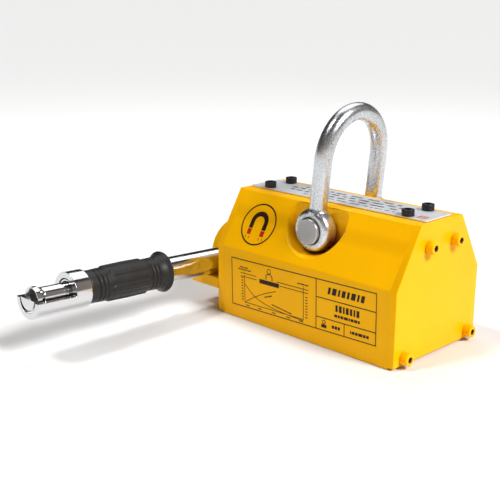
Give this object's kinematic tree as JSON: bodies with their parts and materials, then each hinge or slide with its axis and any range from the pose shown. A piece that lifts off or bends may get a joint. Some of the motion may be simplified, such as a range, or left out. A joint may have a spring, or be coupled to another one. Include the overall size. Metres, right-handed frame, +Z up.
{
  "type": "lifting magnet",
  "caption": "Switchable permanent lifting magnet: a yellow block with a shackle on top and a lever that turns the rotor between off and on.",
  "frame": {"origin": "centre of the plane of the pole faces, under the shackle", "axes": "+Z up to the shackle, X along the rotor with the lever at -X, and the lever pointing to the front, -Y, when off"},
  "size_m": [0.1978, 0.2466, 0.1597],
  "materials": {
    "paint": "gloss yellow enamel",
    "bare_steel": "turned and ground steel",
    "zinc": "dull zinc plating",
    "aluminium": "brushed",
    "chrome": "polished",
    "black_steel": "black oxide",
    "rubber": "matte",
    "brass": "satin",
    "magnet": "nickel plated magnets"
  },
  "bodies": {
    "housing": {"main_body": "paint", "pole_separator": "brass", "stator_magnet_left": "magnet", "stator_magnet_right": "magnet", "left_end_plate": "paint", "right_end_plate": "paint", "left_plate_screw_upper_front": "black_steel", "left_plate_screw_upper_rear": "black_steel", "left_plate_screw_lower_front": "black_steel", "left_plate_screw_lower_rear": "black_steel", "right_plate_screw_upper_front": "paint", "right_plate_screw_upper_rear": "paint", "right_plate_screw_lower_front": "paint", "right_plate_screw_lower_rear": "paint", "front_stop_block": "paint", "rear_stop_block": "paint", "front_stop_screw": "black_steel", "rear_stop_screw": "black_steel", "nameplate": "aluminium", "nameplate_screw_front_left": "black_steel", "nameplate_screw_front_right": "black_steel", "nameplate_screw_rear_left": "black_steel", "nameplate_screw_rear_right": "black_steel", "shackle_pin": "bare_steel", "pin_grub_screw": "black_steel", "shaft_seal": "rubber", "bearing_left_outer_ring": "bare_steel", "bearing_right_outer_ring": "bare_steel", "keeper_pin": "bare_steel"},
    "rotor": {"rotor_pole_front": "bare_steel", "rotor_pole_rear": "bare_steel", "rotor_magnet_left": "magnet", "rotor_magnet_right": "magnet", "rotor_flange_left": "bare_steel", "rotor_flange_right": "bare_steel", "rotor_flange_left_screw_front": "black_steel", "rotor_flange_left_screw_rear": "black_steel", "rotor_flange_right_screw_front": "black_steel", "rotor_flange_right_screw_rear": "black_steel", "bearing_left_inner_ring": "bare_steel", "bearing_right_inner_ring": "bare_steel", "bearing_left_balls": "brass", "bearing_right_balls": "brass", "lever_hub": "paint", "hub_key": "bare_steel", "hub_washer": "zinc", "hub_screw": "black_steel", "lever_tube": "chrome", "lever_set_screw": "black_steel", "grip": "rubber", "latch_barrel": "chrome", "barrel_pin": "bare_steel", "button_bush": "chrome", "rod_guide": "brass", "return_spring": "bare_steel"},
    "button": {"thumb_button": "chrome", "push_rod": "bare_steel", "latch_key": "bare_steel"},
    "shackle": {"shackle": "zinc"}
  },
  "joints": [
    {"name": "lever_swing", "type": "hinge", "parent": "housing", "child": "rotor", "pos_m": [0, 0, 0.0333], "axis": [-1, 0, 0], "range_deg": [0, 175.26]},
    {"name": "button_press", "type": "slide", "parent": "rotor", "child": "button", "axis": [0, 0.9991, -0.0414], "range_m": [0, 0.008], "stiffness_N_per_m": 900, "springref_m": -0.012, "deforming": ["return_spring"]},
    {"name": "shackle_swing", "type": "hinge", "parent": "housing", "child": "shackle", "pos_m": [0, 0, 0.075], "axis": [0, 1, 0], "range_deg": [-47, 36]}
  ]
}
